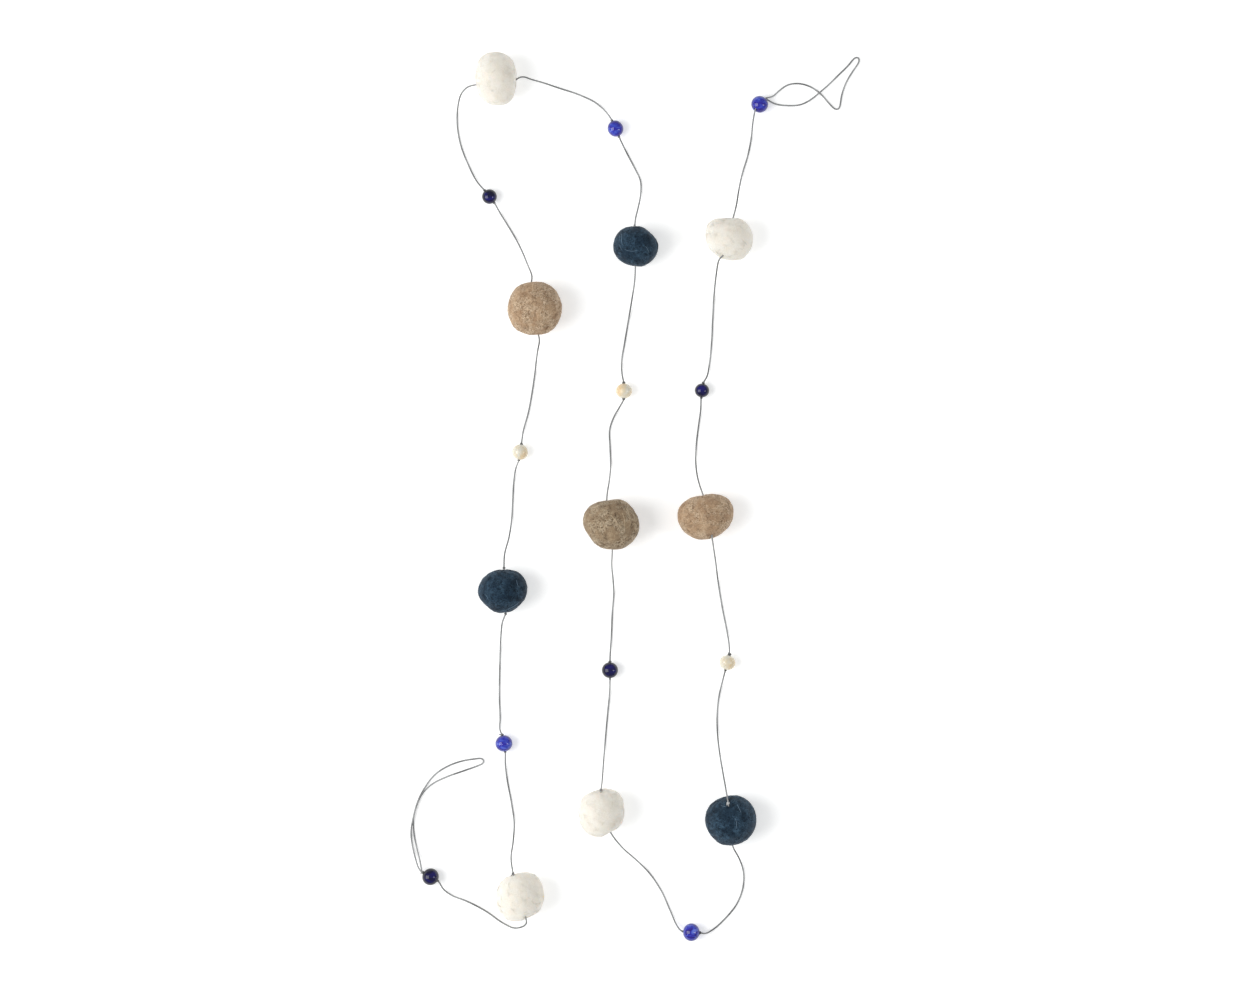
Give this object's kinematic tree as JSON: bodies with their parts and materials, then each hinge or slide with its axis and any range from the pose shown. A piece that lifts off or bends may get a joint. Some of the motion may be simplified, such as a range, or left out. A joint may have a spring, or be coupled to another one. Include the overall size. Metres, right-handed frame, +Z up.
{
  "type": "felt ball garland",
  "caption": "Felted wool balls and round glass beads knotted along one thin waxed cord with a hanging loop at each end, laid flat in columns.",
  "frame": {"origin": "on the surface that the garland lies on, below the middle of the box round its balls and beads, without the cord", "axes": "+X across the columns to the picture's right, +Y along the columns to the picture's top, +Z up from the surface"},
  "size_m": [0.2609, 0.514, 0.0297],
  "materials": {
    "cord": "thin twisted cotton cord, waxed, mid grey",
    "felt_white": "matt felted wool, off-white",
    "felt_tan": "matt felted wool, warm tan with lighter and darker fibres",
    "felt_brown": "matt felted wool, grey-brown with lighter and darker fibres",
    "felt_navy": "matt felted wool, dark blue with lighter fibres",
    "glass_cobalt": "polished glass, cobalt with paler streaks",
    "glass_ink": "polished glass, blue-black",
    "glass_cream": "polished milky glass, cream"
  },
  "bodies": {
    "root": {"cord": "cord", "ball_01": "felt_white", "ball_02": "felt_tan", "ball_03": "felt_navy", "ball_04": "felt_white", "ball_05": "felt_brown", "ball_06": "felt_navy", "ball_07": "felt_white", "ball_08": "felt_tan", "ball_09": "felt_navy", "ball_10": "felt_white", "bead_01": "glass_cobalt", "bead_02": "glass_ink", "bead_03": "glass_cream", "bead_04": "glass_cobalt", "bead_05": "glass_ink", "bead_06": "glass_cream", "bead_07": "glass_cobalt", "bead_08": "glass_ink", "bead_09": "glass_cream", "bead_10": "glass_cobalt", "bead_11": "glass_ink"}
  },
  "joints": []
}
